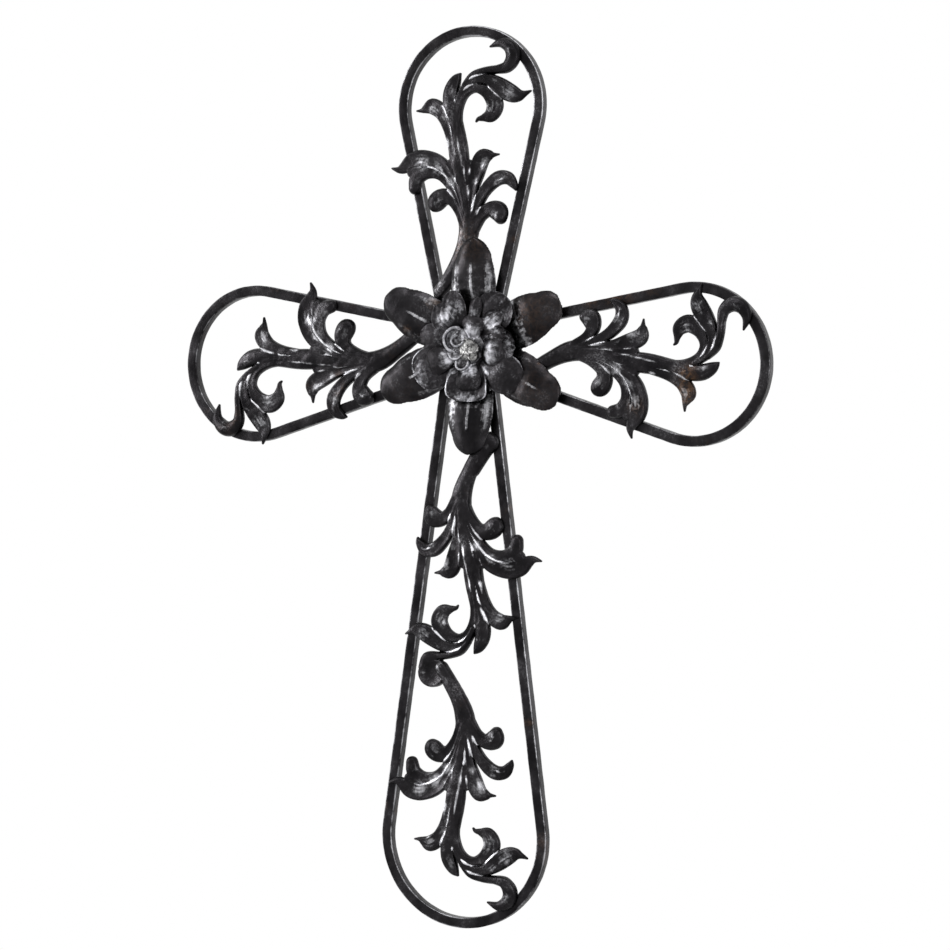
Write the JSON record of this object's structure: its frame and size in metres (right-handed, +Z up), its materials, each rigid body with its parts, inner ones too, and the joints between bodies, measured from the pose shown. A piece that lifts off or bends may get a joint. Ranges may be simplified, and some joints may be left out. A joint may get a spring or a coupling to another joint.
{
  "type": "wrought iron cross",
  "caption": "Hanging iron cross of looped square bar, with leaf scrolls laid in its arms and a layered flower over the crossing.",
  "frame": {"origin": "the hanging point: the middle of the top loop's crown, on its lowest face, at the wall side", "axes": "+Z up along the upright, +Y into the wall, +X to the right as seen from the front"},
  "size_m": [0.5722, 0.0303, 0.7999],
  "materials": {
    "bar_iron": "blackened, worn bright on the edges",
    "leaf_iron": "blackened, silver rubbed on the ridges, a little rust",
    "petal_iron": "blackened, silver rubbed on the ribs and rims",
    "bud_iron": "mostly rubbed silver"
  },
  "bodies": {
    "root": {"top_loop": "bar_iron", "left_loop": "bar_iron", "right_loop": "bar_iron", "lower_loop": "bar_iron", "top_scroll": "leaf_iron", "left_scroll": "leaf_iron", "right_scroll": "leaf_iron", "upper_stem_scroll": "leaf_iron", "lower_stem_scroll": "leaf_iron", "outer_petals": "petal_iron", "middle_petals": "petal_iron", "inner_petals": "petal_iron", "flower_bud": "bud_iron"}
  },
  "joints": []
}
